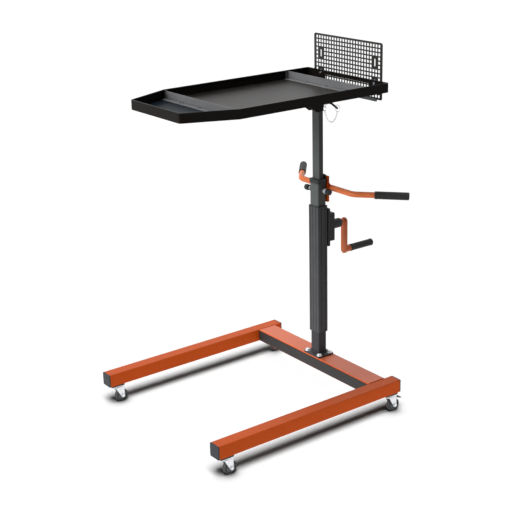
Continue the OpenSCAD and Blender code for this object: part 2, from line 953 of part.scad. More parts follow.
// Ribbed hub between the housing and the crank arm
module crank_hub() {
    bore = shaft_d / 2 + fit;
    r = hub_d / 2;
    waist = r - hub_chamfer / 2;
    step = (hub_length - 2 * hub_chamfer) / hub_ribs;
    stand() color("black") translate([0, hub_front, shaft_z]) rotate([-90, 0, 0])
        rotate_extrude() polygon(concat([[bore, 0], [r - hub_chamfer, 0]],
            [for (i = [0:hub_ribs - 1]) let (z = hub_chamfer + i * step)
                each [[r, z], [r, z + step - hub_groove], [waist, z + step - hub_groove],
                    [waist, z + step]]],
            [[r - hub_chamfer, hub_length], [bore, hub_length]]));
}

// Crank arm with its shaft boss, and the collar and spindle that carry the grip
module crank_arm() {
    stand() color("orangered") translate([0, 0, shaft_z]) difference() {
        union() {
            upright(arm_front, arm_t) {
                circle(d = arm_w);
                translate([0, -crank_radius]) circle(d = arm_w);
                translate([-arm_w / 2, -crank_radius]) square([arm_w, crank_radius]);
            }
            rod_y(boss_d, hub_back, arm_front);
            translate([0, 0, -crank_radius]) {
                rod_y(collar_d, arm_back, collar_back);
                rod_y(spindle_d, collar_back, grip_back - grip_end - gap);
            }
        }
        rod_y(shaft_d + 2 * fit, hub_back - over, arm_back + over);
    }
}

module crank_nut() {
    stand() color("silver") translate([0, arm_back, shaft_z]) rotate([-90, 0, 0]) difference() {
        hexagon(nut_flats, nut_t);
        translate([0, 0, -over]) cylinder(d = thread_d + 2 * fit, h = nut_t + 2 * over);
    }
}

// Hand grip that turns on the spindle, waisted and closed at its rear end
module crank_grip() {
    r = crank_grip_d / 2;
    waist = r - grip_waist;
    bore = spindle_d / 2 + fit;
    depth = crank_grip_l - grip_end;
    stand() color("black") translate([0, grip_front, shaft_z - crank_radius])
        rotate([-90, 0, 0]) rotate_extrude() polygon([[bore, 0], [waist, 0], [r, grip_waist],
            [r, 2 * grip_round], [waist, 4 * grip_round], [waist, crank_grip_l - 4 * grip_round],
            [r, crank_grip_l - 2 * grip_round], [r, crank_grip_l - grip_round],
            [r - grip_round, crank_grip_l], [0, crank_grip_l], [0, depth], [bore, depth]]);
}

// Inner column and handlebar

module bar_bolt_places() {
    for (x = [-bar_bolt_x, bar_bolt_x])
        for (z = [inner_top - block_drop + bar_bolt_inset,
            barplate_bottom + barplate_h - bar_bolt_inset])
            translate([x, 0, z]) children();
}

// The right clamp screw presses behind the column axis and the left one before it
module clamp_places() {
    translate([0, clamp_y, clamp_z]) children();
    mirror([1, 0, 0]) translate([0, -clamp_y, clamp_z]) children();
}

// Inner column with a welded nut on each side for its clamp screws
module inner_column() {
    side = inner_w / 2;
    stand() color("slategray") difference() {
        union() {
            tube(inner_w, inner_d, inner_wall, leg_corner, inner_bottom, inner_top);
            clamp_places() rod_x(clamp_boss_d, side - fit, side + clamp_boss_t);
        }
        clamp_places() rod_x(clamp_d + 2 * fit, upper_w / 2, side + clamp_boss_t + over);
        bar_bolt_places()
            rod_y(bar_bolt_d + 2 * fit, inner_d / 2 - inner_wall - over, column_back);
    }
}

// Glide around the foot of the inner column
module slide_guide() {
    room = [column_w - 2 * column_wall - 2 * gap, column_d - 2 * column_wall - 2 * gap];
    stand() color("ivory") translate([0, 0, inner_bottom]) linear_extrude(slide_guide_h)
        difference() {
            square(room, center = true);
            round_rect(inner_w + 2 * fit, inner_d + 2 * fit, leg_corner);
        }
}

// Moulded cap of the inner column, with the block behind it that spaces the plate
module column_collar() {
    w = inner_w + 2 * collar_wall;
    d = inner_d + 2 * collar_wall;
    stand() color("black") difference() {
        union() {
            translate([0, 0, inner_top - collar_skirt])
                linear_extrude(collar_skirt + collar_cap) round_rect(w, d, leg_corner);
            translate([-block_w / 2, inner_d / 2 + fit, inner_top - block_drop])
                cube([block_w, block_d - fit, block_drop + block_rise]);
        }
        translate([0, 0, inner_top - collar_skirt - over]) linear_extrude(collar_skirt + over)
            round_rect(inner_w + 2 * fit, inner_d + 2 * fit, leg_corner);
        translate([0, 0, inner_top - over]) linear_extrude(collar_cap + 2 * over)
            square([upper_w + 2 * gap, upper_d + 2 * gap], center = true);
        bar_bolt_places() rod_y(bar_bolt_d + 2 * fit, inner_d / 2 - inner_wall, barplate_front + over);
    }
}

// Handlebar plate with the saddle that the tube is welded into
module bar_plate() {
    stand() color("orangered") difference() {
        union() {
            upright(barplate_front, barplate_t) translate([0, barplate_bottom + barplate_h / 2])
                round_rect(barplate_w, barplate_h, leg_corner);
            translate([-saddle_w / 2, barplate_back - fit, bar_z - saddle_h / 2])
                cube([saddle_w, bar_d / 2, saddle_h]);
        }
        translate([0, bar_y, bar_z]) rod_x(bar_d + 2 * fit, -saddle_w, saddle_w);
        bar_bolt_places()
            rod_y(bar_bolt_d + 2 * fit, barplate_front - over, barplate_back + over);
    }
}

module bar_bolts() {
    stand() color("silver") bar_bolt_places() {
        rod_y(bar_bolt_d, barplate_front - bar_bolt_in, barplate_back);
        translate([0, barplate_back, 0]) rotate([-90, 0, 0])
            hexagon(bar_bolt_flats, bar_bolt_h);
    }
}

module bar_section() {
    difference() {
        circle(d = bar_d);
        circle(d = bar_d - 2 * bar_wall);
    }
}

// Bent tube: a straight middle, and at each side a bend and an arm
module handlebar() {
    stand() color("orangered") translate([0, bar_y, bar_z]) {
        translate([-bar_straight, 0, 0]) rotate([90, 0, 90]) linear_extrude(2 * bar_straight)
            bar_section();
        both_sides() translate([bar_straight, bar_bend, 0]) rotate([0, 0, -90]) {
            intersection() {
                rotate_extrude(angle = 90) translate([bar_bend, 0]) bar_section();
                rotate([0, 0, bar_angle]) translate([0, -2 * bar_bend, -bar_bend])
                    cube(2 * bar_bend);
            }
            rotate([0, 0, bar_angle]) translate([bar_bend, 0, 0]) rotate([-90, 0, 0])
                linear_extrude(bar_arm - bend_run) bar_section();
        }
    }
}

// Places a child on the tip of the right arm, with its +Z along the bar towards the root
module at_tip() {
    translate([bar_half, bar_y, bar_z]) rotate([0, 0, bar_angle]) translate([bar_arm, 0, 0])
        rotate([0, -90, 0]) children();
}

// Rubber grip with a closed end and rings along it
module bar_grip() {
    bore = bar_d / 2 + fit;
    r = grip_d / 2;
    cap = bar_grip_cap;
    dip = r - bar_grip_dip;
    step = (grip_length - 4 * cap) / bar_grip_rings;
    translate([0, 0, -cap]) rotate_extrude() polygon(concat([[0, 0], [r - cap, 0], [r, cap]],
        [for (i = [0:bar_grip_rings - 1]) let (z = 2 * cap + i * step)
            each [[r, z], [dip, z + step / 4], [dip, z + step / 2], [r, z + step * 3 / 4]]],
        [[r, grip_length - cap], [dip, grip_length], [bore, grip_length], [bore, cap], [0, cap]]));
}

module bar_grip_right() {
    stand() color("black") at_tip() bar_grip();
}

module bar_grip_left() {
    stand() color("black") mirror([1, 0, 0]) at_tip() bar_grip();
}

// Plastic lining between the inner column and the upper tube
module mast_guide() {
    room = [inner_w - 2 * inner_wall - 2 * fit, inner_d - 2 * inner_wall - 2 * fit];
    stand() color("ivory") difference() {
        sleeve(room, [upper_w + 2 * gap, upper_d + 2 * gap], leg_corner - inner_wall,
            inner_top - mast_guide_h, inner_top);
        clamp_places() rod_x(clamp_tip_d + 2 * gap, 0, inner_w);
    }
}

// Clamp screw with its fluted knob, pointing along +X
module clamp_screw() {
    side = inner_w / 2;
    shoulder = side - inner_wall + gap;
    knob_front = side + clamp_boss_t + clamp_shank;
    flute_r = clamp_knob_d / 2 + flute_d / 4;
    rod_x(clamp_tip_d, upper_w / 2 + gap, shoulder + over);
    rod_x(clamp_d, shoulder, knob_front + over);
    rod_x(clamp_neck_d, knob_front - clamp_shank / 3, knob_front + over);
    translate([knob_front, 0, 0]) rotate([0, 90, 0]) linear_extrude(clamp_knob_t) difference() {
        circle(d = clamp_knob_d);
        for (i = [0:flute_count - 1]) rotate(i * 360 / flute_count)
            translate([flute_r, 0]) circle(d = flute_d);
    }
}

module clamp_knob_right() {
    stand() color("black") translate([0, clamp_y, clamp_z]) clamp_screw();
}

module clamp_knob_left() {
    stand() color("black") mirror([1, 0, 0]) translate([0, -clamp_y, clamp_z]) clamp_screw();
}

// Upper tube, bracket and tray

module upper_tube() {
    stand() color("slategray") difference() {
        tube(upper_w, upper_d, upper_wall, upper_wall, inner_top - upper_inside,
            tray_bottom - bracket_plate_t);
        translate([0, 0, pin_z]) rod_y(pin_d + 2 * fit, -upper_d, upper_d);
    }
}

// Glide around the foot of the upper tube
module upper_guide() {
    room = [inner_w - 2 * inner_wall - 2 * gap, inner_d - 2 * inner_wall - 2 * gap];
    stand() color("ivory") translate([0, 0, inner_top - upper_inside])
        linear_extrude(foot_guide_h) difference() {
            round_rect(room[0], room[1], leg_corner - inner_wall);
            round_rect(upper_w + 2 * fit, upper_d + 2 * fit, upper_wall);
        }
}

// Socket on the upper tube, its plate under the tray and the gussets between them
module tray_bracket() {
    w = upper_w + 2 * fit + 2 * bracket_t;
    d = upper_d + 2 * fit + 2 * bracket_t;
    low = tray_bottom - bracket_plate_t;
    seam = low + bracket_plate_t / 2;
    side = upper_w / 2 + fit;
    stand() color("dimgray") difference() {
        union() {
            tube(w, d, bracket_t, bracket_t + upper_wall, bracket_bottom, low);
            translate([-bracket_half, -bracket_front, low])
                cube([2 * bracket_half, bracket_front + bracket_rear, bracket_plate_t]);
            for (x = [-side - bracket_t, side]) sideways(x, bracket_t) {
                polygon([[-upper_d / 2, bracket_bottom], [-upper_d / 2, seam],
                    [-bracket_front, seam], [-bracket_front, low - bracket_toe],
                    [-d / 2 - bracket_rim, bracket_bottom]]);
                polygon([[upper_d / 2, low - d], [d / 2, low - d],
                    [bracket_rear, low - bracket_toe], [bracket_rear, seam],
                    [upper_d / 2, seam]]);
            }
        }
        translate([0, 0, pin_z]) rod_y(pin_d + 2 * fit, -d, d);
        translate([eye_x, 0, eye_z]) rod_y(eye_wire + 2 * fit, 0, d);
    }
}

// Tray outline, moved inwards by an inset that keeps the wall even
taper_turn = atan((tray_w - nose_w) / 2 / (tray_nose - tray_taper));
function tray_outline(inset) =
    let (x = tray_w / 2 - inset, y = tray_rear - inset)
    let (side_y = -tray_taper + inset * tan(taper_turn / 2))
    let (nose_x = nose_w / 2 - inset * tan((90 - taper_turn) / 2), nose_y = -tray_nose + inset)
    rounded([[x, y], [-x, y], [-x, side_y], [-nose_x, nose_y], [nose_x, nose_y], [x, side_y]],
        tray_corner - inset);

module tray_shape(inset, z0, z1) {
    translate([0, 0, z0]) linear_extrude(z1 - z0) polygon(tray_outline(inset));
}

module divider_bolt_places() {
    for (y = [rear_divider_y, -tray_taper], x = [-1, 0, 1])
        translate([x * divider_bolt_x, y - divider_foot / 2, tray_floor + tray_t]) children();
}

module wall_bolt_places() {
    for (x = [-slot_x, slot_x])
        translate([x, tray_rear - tray_t, wall_bolt_z]) rotate([90, 0, 0]) children();
}

// Folded sheet tray with a hemmed rim and a window low in its rear wall
module tray() {
    stand() color("dimgray") difference() {
        tray_shape(0, tray_bottom, tray_top);
        tray_shape(tray_t, tray_floor, tray_top - hem_h);
        tray_shape(hem_w, tray_floor, tray_top + over);
        translate([-window_half, tray_rear - tray_corner, tray_bottom + window_low])
            cube([2 * window_half, 2 * tray_corner, window_h]);
        divider_bolt_places() translate([0, 0, -2 * tray_t - over])
            cylinder(d = bolt_d + 2 * fit, h = 2 * tray_t + over);
        wall_bolt_places() translate([0, 0, -tray_t - over])
            cylinder(d = bolt_d + 2 * fit, h = tray_t + 2 * over);
    }
}

// Divider across the tray: an upright sheet, a foot on the floor and flanges at both ends
module divider(y, end_y) {
    half = tray_w / 2;
    height = tray_h - tray_t - hem_h - divider_gap;
    stand() color("dimgray") difference() {
        intersection() {
            union() {
                translate([-half, y - tray_t, tray_floor]) cube([2 * half, tray_t, height]);
                translate([-half, y - divider_foot, tray_floor])
                    cube([2 * half, divider_foot, tray_t]);
                both_sides() translate([half - 2 * tray_t - fit, end_y, tray_floor])
                    cube([2 * tray_t, divider_end, height]);
            }
            tray_shape(tray_t + fit, tray_floor - over, tray_top + over);
        }
        divider_bolt_places() translate([0, 0, -tray_t - over])
            cylinder(d = bolt_d + 2 * fit, h = tray_t + 2 * over);
    }
}

module front_divider() {
    divider(-tray_taper, -tray_taper - tray_t);
}

module rear_divider() {
    divider(rear_divider_y, rear_divider_y - divider_end);
}

// One bolt with its washer and nut; the head stands on z = 0 and clamps what lies below
module tray_bolt(clamped) {
    washer_z = -clamped - washer_t;
    hexagon(bolt_flats, bolt_head_t);
    translate([0, 0, washer_z - bolt_nut_t - over])
        cylinder(d = bolt_d, h = clamped + washer_t + bolt_nut_t + over);
    translate([0, 0, washer_z]) cylinder(d = washer_d, h = washer_t);
    translate([0, 0, washer_z - bolt_nut_t]) hexagon(bolt_flats, bolt_nut_t);
}

module tray_bolts() {
    stand() color("silver") {
        divider_bolt_places() tray_bolt(2 * tray_t);
        wall_bolt_places() tray_bolt(tray_t + panel_t);
    }
}

// Tool panel

function hole_x(i) = (i - (panel_columns - 1) / 2) * hole_pitch;
function near_slot(x, row) = abs(abs(x) - slot_x) < hole_pitch
    && min([for (s = slot_rows) abs(row - s)]) < 2;

module slot_hole() {
    r = slot_w / 2;
    run = slot_h / 2 - r;
    for (z = [-run, run]) translate([0, z]) circle(r);
    square([slot_w, 2 * run], center = true);
}

// Perforated panel: a grid of square holes with solid patches around its two pairs of slots
module tool_panel() {
    stand() color("dimgray") upright(tray_rear, panel_t) difference() {
        translate([0, panel_bottom + panel_h / 2]) round_rect(panel_w, panel_h, panel_corner);
        for (i = [0:panel_columns - 1], row = [0:panel_rows - 1])
            if (!near_slot(hole_x(i), row))
                translate([hole_x(i), panel_row_z + row * hole_pitch])
                    square(hole_side, center = true);
        for (x = [-slot_x, slot_x], row = slot_rows)
            translate([x, panel_row_z + row * hole_pitch]) slot_hole();
    }
}

// Edge channel pushed on the panel's lower edge
module panel_rail() {
    mid = tray_rear + panel_t / 2;
    stand() color("slategray") difference() {
        translate([-rail_length / 2, mid - rail_d / 2, panel_bottom + rail_grip - rail_h])
            cube([rail_length, rail_d, rail_h]);
        translate([-rail_length / 2 - over, tray_rear - fit, panel_bottom])
            cube([rail_length + 2 * over, panel_t + 2 * fit, rail_grip + over]);
    }
}

// Lock pin

// Round bar with one bend, and a cross hole for its ring
module lock_pin() {
    stand() color("black") difference() {
        translate([0, 0, pin_z]) rotate([0, pin_droop, 0]) {
            rod_y(pin_d, -pin_tip, pin_reach - pin_bend);
            translate([pin_bend, pin_reach - pin_bend, 0]) rotate([0, 0, 90])
                rotate_extrude(angle = 90) translate([pin_bend, 0]) circle(d = pin_d);
            translate([0, pin_reach, 0]) rod_x(pin_d, pin_bend, pin_handle);
        }
        translate(handle_end) rotate([0, pin_droop, 0]) translate([-ring_r, 0, -pin_d])
            cylinder(d = ring_hole, h = 2 * pin_d);
    }
}

module wire_ring(r, wire) {
    rotate_extrude() translate([r, 0]) circle(d = wire, $fn = 24);
}

// Wire ring through the pin's handle, around its end
module pin_ring() {
    stand() color("silver") translate(handle_end) rotate([90, 0, 0]) wire_ring(ring_r, ring_wire);
}

// Eye bolt on the bracket, and the small ring that the chain starts from
module pin_anchor() {
    stand() color("silver") {
        translate([eye_x, 0, eye_z]) {
            rod_y(eye_wire, upper_d / 2 + 2 * fit, split_y - eye_r);
            translate([0, split_y, 0]) rotate([0, 90, 0]) wire_ring(eye_r, eye_wire);
        }
        translate([eye_x, split_y, split_z]) rotate([90, 0, 0]) wire_ring(split_r, split_wire);
    }
}

// The chain hangs in a catenary between its rings, one link on each equal stretch of it
link_pitch = link_straight + 2 * link_r - link_wire - link_gap;
chain_half = link_count * link_pitch / 2;
hook = (link_wire + link_gap) / 2;
chain_start = [eye_x, split_y, split_z - split_r + hook];
chain_end = handle_end + [0, 0, hook - ring_r];
chain_span = norm([chain_end[0] - chain_start[0], chain_end[1] - chain_start[1]]);
function sinh(t) = (exp(t) - exp(-t)) / 2;
function asinh(t) = ln(t + sqrt(t * t + 1));
function catenary(lo, hi, n) = let (mid = (lo + hi) / 2) n == 0 ? mid :
    mid * sinh(chain_span / 2 / mid) > chain_half ? catenary(mid, hi, n - 1) :
    catenary(lo, mid, n - 1);
chain_a = catenary(chain_span / 20, chain_span, 40);
chain_rise = norm([chain_a, chain_half]);
function chain_point(i) =
    let (s = i * link_pitch - chain_half, share = chain_a * asinh(s / chain_a) / chain_span + 0.5)
    chain_start + (chain_end - chain_start) * share + [0, 0, norm([chain_a, s]) - chain_rise];

// One link along X, its loop lying in the XY plane
module link() {
    half = link_straight / 2;
    for (side = [0, 1]) rotate([0, 0, 180 * side]) {
        translate([half, 0, 0]) rotate([0, 0, -90]) rotate_extrude(angle = 180)
            translate([link_r, 0]) circle(d = link_wire, $fn = 16);
        translate([0, link_r, 0]) rod_x(link_wire, -half, half, $fn = 16);
    }
}

module pin_chain() {
    heading = atan2(chain_end[1] - chain_start[1], chain_end[0] - chain_start[0]);
    stand() color("silver") for (i = [0:link_count - 1]) {
        a = chain_point(i);
        b = chain_point(i + 1);
        climb = asin((b - a)[2] / norm(b - a));
        translate((a + b) / 2) rotate([0, -climb, heading]) rotate([i % 2 == 0 ? 90 : 0, 0, 0])
            link();
    }
}

leg_left();
leg_right();
crossbar();
crossbar_strip();
leg_caps();
caster_pads();
caster_plates();
base_post();
base_bolts();
outer_column();
column_screws();
column_guides();
gearbox_plate();
gearbox_housing();
shaft_bushes();
inner_column();
lift_rack();
slide_guide();
column_collar();
bar_plate();
handlebar();
bar_bolts();
bar_grip_left();
bar_grip_right();
mast_guide();
pinion_shaft();
brake_disc();
crank_hub();
crank_arm();
crank_nut();
crank_grip();
clamp_knob_left();
clamp_knob_right();
upper_tube();
upper_guide();
tray_bracket();
tray();
front_divider();
rear_divider();
tray_bolts();
tool_panel();
panel_rail();
pin_anchor();
pin_chain();
lock_pin();
pin_ring();
fork_front_left();
fork_front_right();
fork_rear_left();
fork_rear_right();
wheel_front_left();
wheel_front_right();
wheel_rear_left();
wheel_rear_right();
tyre_front_left();
tyre_front_right();
tyre_rear_left();
tyre_rear_right();
brake_pedal_left();
brake_pedal_right();
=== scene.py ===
import math

import bmesh
import bpy
from mathutils import Matrix, Vector


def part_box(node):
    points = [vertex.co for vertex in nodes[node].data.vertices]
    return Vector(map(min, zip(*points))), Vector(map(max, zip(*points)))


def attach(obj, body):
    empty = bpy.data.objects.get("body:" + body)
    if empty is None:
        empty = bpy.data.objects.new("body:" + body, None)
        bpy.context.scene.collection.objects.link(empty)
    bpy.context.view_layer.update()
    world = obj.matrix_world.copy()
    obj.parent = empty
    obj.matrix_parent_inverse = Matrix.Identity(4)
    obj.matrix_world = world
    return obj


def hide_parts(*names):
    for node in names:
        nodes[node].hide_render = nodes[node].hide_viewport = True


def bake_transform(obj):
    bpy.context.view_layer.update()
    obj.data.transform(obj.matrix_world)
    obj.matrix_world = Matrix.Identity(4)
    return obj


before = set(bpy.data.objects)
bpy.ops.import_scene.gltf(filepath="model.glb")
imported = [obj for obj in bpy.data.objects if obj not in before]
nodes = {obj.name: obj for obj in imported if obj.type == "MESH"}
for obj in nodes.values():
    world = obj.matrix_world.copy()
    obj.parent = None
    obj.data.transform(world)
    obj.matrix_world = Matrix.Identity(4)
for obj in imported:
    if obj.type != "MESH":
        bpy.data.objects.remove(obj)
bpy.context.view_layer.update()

# The column's middle, from which the parts on it take their place
COLUMN_Y = 0.23895

# Camera at the photograph's place and angle
CAMERA_AT = (3.22235, -2.41726, 1.9803)
CAMERA_ANGLES = (53.76, 19.12, -1.37)
LENS, SENSOR, VIEW_END = 81.42, 36, 200
yaw, pitch, roll = (math.radians(a) for a in CAMERA_ANGLES)
back = Vector((math.sin(yaw) * math.cos(pitch), -math.cos(yaw) * math.cos(pitch), math.sin(pitch)))
level = Vector((math.cos(yaw), math.sin(yaw), 0))
rise = back.cross(level)
right = math.cos(roll) * level + math.sin(roll) * rise
up = -math.sin(roll) * level + math.cos(roll) * rise
camera_data = bpy.data.cameras.new("camera")
camera_data.lens = LENS
camera_data.sensor_width = SENSOR
camera_data.clip_end = VIEW_END
camera = bpy.data.objects.new("camera", camera_data)
camera.matrix_world = Matrix.Translation(CAMERA_AT) @ Matrix((right, up, back)).transposed().to_4x4()
bpy.context.scene.collection.objects.link(camera)
bpy.context.scene.camera = camera
bpy.context.scene.view_settings.view_transform = "Standard"


# Node helpers
def tree_of(material):
    material.use_nodes = True
    tree = material.node_tree
    tree.nodes.clear()
    return tree


def add(tree, kind, inputs=(), **settings):
    node = tree.nodes.new(kind)
    for name, value in settings.items():
        setattr(node, name, value)
    for name, value in dict(inputs).items():
        if isinstance(value, bpy.types.NodeSocket):
            tree.links.new(value, node.inputs[name])
        else:
            node.inputs[name].default_value = value
    return node


def math_node(tree, operation, a, b=0.0, clamp=False):
    return add(tree, "ShaderNodeMath", {0: a, 1: b}, operation=operation, use_clamp=clamp).outputs[0]


def times(tree, a, b, clamp=False):
    return math_node(tree, "MULTIPLY", a, b, clamp)


def ramp(tree, value, low, high, start=0.0, end=1.0):
    """Turns low to high into start to end, and holds there."""
    node = add(tree, "ShaderNodeMapRange", {"Value": value, "From Min": low, "From Max": high,
               "To Min": start, "To Max": end})
    return node.outputs["Result"]


def noise(tree, vector, **inputs):
    return add(tree, "ShaderNodeTexNoise", {"Vector": vector, **inputs}).outputs["Fac"]


def mix(tree, share, a, b):
    """Mixes colours; each is a socket or three numbers."""
    node = add(tree, "ShaderNodeMix", {"Factor": share}, data_type="RGBA")
    for name, value in (("A", a), ("B", b)):
        socket = [s for s in node.inputs if s.name == name and s.type == "RGBA"][0]
        if isinstance(value, bpy.types.NodeSocket):
            tree.links.new(value, socket)
        else:
            socket.default_value = (*value, 1)
    return [s for s in node.outputs if s.type == "RGBA"][0]


def seen_directly(tree):
    """1 for what the camera sees, also in gloss and through glass, and 0 for light on its way."""
    path = add(tree, "ShaderNodeLightPath")
    rays = [path.outputs["Is " + kind + " Ray"] for kind in ("Camera", "Glossy", "Transmission")]
    return math_node(tree, "MAXIMUM", math_node(tree, "MAXIMUM", rays[0], rays[1]), rays[2])


# World: white where seen, and elsewhere a plain light that is weak at the horizon and full overhead
HORIZON, OVERHEAD = 0.08, 0.70
world = bpy.data.worlds.new("studio")
bpy.context.scene.world = world
t = tree_of(world)
towards_sky = add(t, "ShaderNodeTexCoord").outputs["Generated"]
height = add(t, "ShaderNodeSeparateXYZ", {0: towards_sky}).outputs["Z"]
ambient = add(t, "ShaderNodeBackground", {"Color": (0.97, 0.98, 1, 1),
              "Strength": ramp(t, height, 0.0, 1.0, HORIZON, OVERHEAD)})
white = add(t, "ShaderNodeBackground", {"Color": (1, 1, 1, 1), "Strength": 1.0})
both = add(t, "ShaderNodeMixShader", {0: seen_directly(t), 1: ambient.outputs[0], 2: white.outputs[0]})
add(t, "ShaderNodeOutputWorld", {"Surface": both.outputs[0]})


def sun(name, towards, strength, angle):
    """A lamp that shines along a direction; its width is an angle in degrees."""
    data = bpy.data.lights.new(name, "SUN")
    data.energy, data.angle = strength, math.radians(angle)
    lamp = bpy.data.objects.new(name, data)
    lamp.rotation_euler = Vector(towards).to_track_quat("-Z", "Y").to_euler()
    bpy.context.scene.collection.objects.link(lamp)
    return lamp


def quad(name, corners):
    """A single face, and the empty tree of its material."""
    mesh = bpy.data.meshes.new(name)
    mesh.from_pydata(corners, [], [(0, 1, 2, 3)])
    obj = bpy.data.objects.new(name, mesh)
    bpy.context.scene.collection.objects.link(obj)
    material = bpy.data.materials.new(name)
    mesh.materials.append(material)
    return obj, tree_of(material)


# One lamp from above and one on the front faces
sun("key", (0.22, 0.30, -1), 1.3, 25)
sun("front", (0.15, 0.95, -0.28), 1.9, 40)

# Floor: it sends light up that fades with distance, and where seen it shows the lamps' light and shadow,
# with a painted contact shadow where something stands within CONTACT of it
FLOOR_REACH = 60
BOUNCE_FULL, BOUNCE_FADED = 0.6, 2.0
CONTACT, CONTACT_DARKEST = 0.08, 0.25
BLACK, FADED, SHOWN = (0.0, 0.0, 0.0), (0.14, 0.14, 0.14), (0.05, 0.05, 0.05)
floor, t = quad("floor", [(-FLOOR_REACH, -FLOOR_REACH, 0), (FLOOR_REACH, -FLOOR_REACH, 0),
                          (FLOOR_REACH, FLOOR_REACH, 0), (-FLOOR_REACH, FLOOR_REACH, 0)])
place = add(t, "ShaderNodeTexCoord").outputs["Object"]
pale = mix(t, noise(t, place, Scale=900.0, Detail=2.0), (0.86, 0.86, 0.86), (0.90, 0.90, 0.90))
away = add(t, "ShaderNodeVectorMath", {0: place}, operation="LENGTH").outputs["Value"]
faded = mix(t, ramp(t, away, BOUNCE_FULL, BOUNCE_FADED), pale, FADED)
bounce = add(t, "ShaderNodeEmission", {"Color": faded})
near = add(t, "ShaderNodeAmbientOcclusion", {"Distance": CONTACT}, samples=16).outputs["AO"]
painted_contact_shadow = add(t, "ShaderNodeMapRange", {"Value": near, "From Min": 0.5, "From Max": 0.93,
              "To Min": CONTACT_DARKEST, "To Max": 1.0}, interpolation_type="SMOOTHSTEP").outputs["Result"]
shown = add(t, "ShaderNodeBsdfDiffuse", {"Color": mix(t, painted_contact_shadow, BLACK, SHOWN)})
out = add(t, "ShaderNodeMixShader", {0: seen_directly(t), 1: bounce.outputs[0], 2: shown.outputs[0]})
add(t, "ShaderNodeOutputMaterial", {"Surface": out.outputs[0]})

# One lamp lights the floor alone, and the legs and casters keep it off: the shadow seen under them
shade = sun("shade", (-0.37, 0.27, -1), 68, 27)
lit = bpy.data.collections.new("lit")
lit.objects.link(floor)
shade.light_linking.receiver_collection = lit
blockers = bpy.data.collections.new("blockers")
SHADOW_MAKERS = ("leg", "caster", "fork", "wheel", "tyre", "brake_pedal")
for name, node in nodes.items():
    if name.startswith(SHADOW_MAKERS):
        blockers.objects.link(node)
shade.light_linking.blocker_collection = blockers

# A black card on the right keeps the sky off the columns' right faces
CARD_X, CARD_REACH, CARD_LOW, CARD_HIGH = 0.95, 1.6, 0.6, 3.0
card, t = quad("card", [(CARD_X, -CARD_REACH, CARD_LOW), (CARD_X, CARD_REACH, CARD_LOW),
                        (CARD_X, CARD_REACH, CARD_HIGH), (CARD_X, -CARD_REACH, CARD_HIGH)])
card.visible_camera = card.visible_glossy = card.visible_transmission = False
cloth = add(t, "ShaderNodeTexNoise", {"Scale": 40.0}).outputs["Fac"]
felt = add(t, "ShaderNodeBsdfDiffuse", {"Color": mix(t, cloth, (0.01, 0.01, 0.01), (0.02, 0.02, 0.02))})
add(t, "ShaderNodeOutputMaterial", {"Surface": felt.outputs[0]})

# What all finishes share. A face looks up from TOP_FROM to TOP_FULL of its normal's height.
DUST_AND_SHEEN = (0.42, 0.41, 0.39)
TOP_FROM, TOP_FULL, TOP_COVER = 0.1, 0.8, 0.85
# Painted shade on the end bays' floors: its colour, the width of its edge and how much gloss it cuts
BAY_PAINTED_SHADE, BAY_EDGE, BAY_DULLING = (0.006, 0.013, 0.020), 0.01, 0.75
BUMP_STRENGTH, COAT_ROUGHNESS = 0.5, 0.34
# The tray's bay between its dividers: its middle and half its length along Y
MIDDLE_BAY = (COLUMN_Y - 0.236, 0.2775)


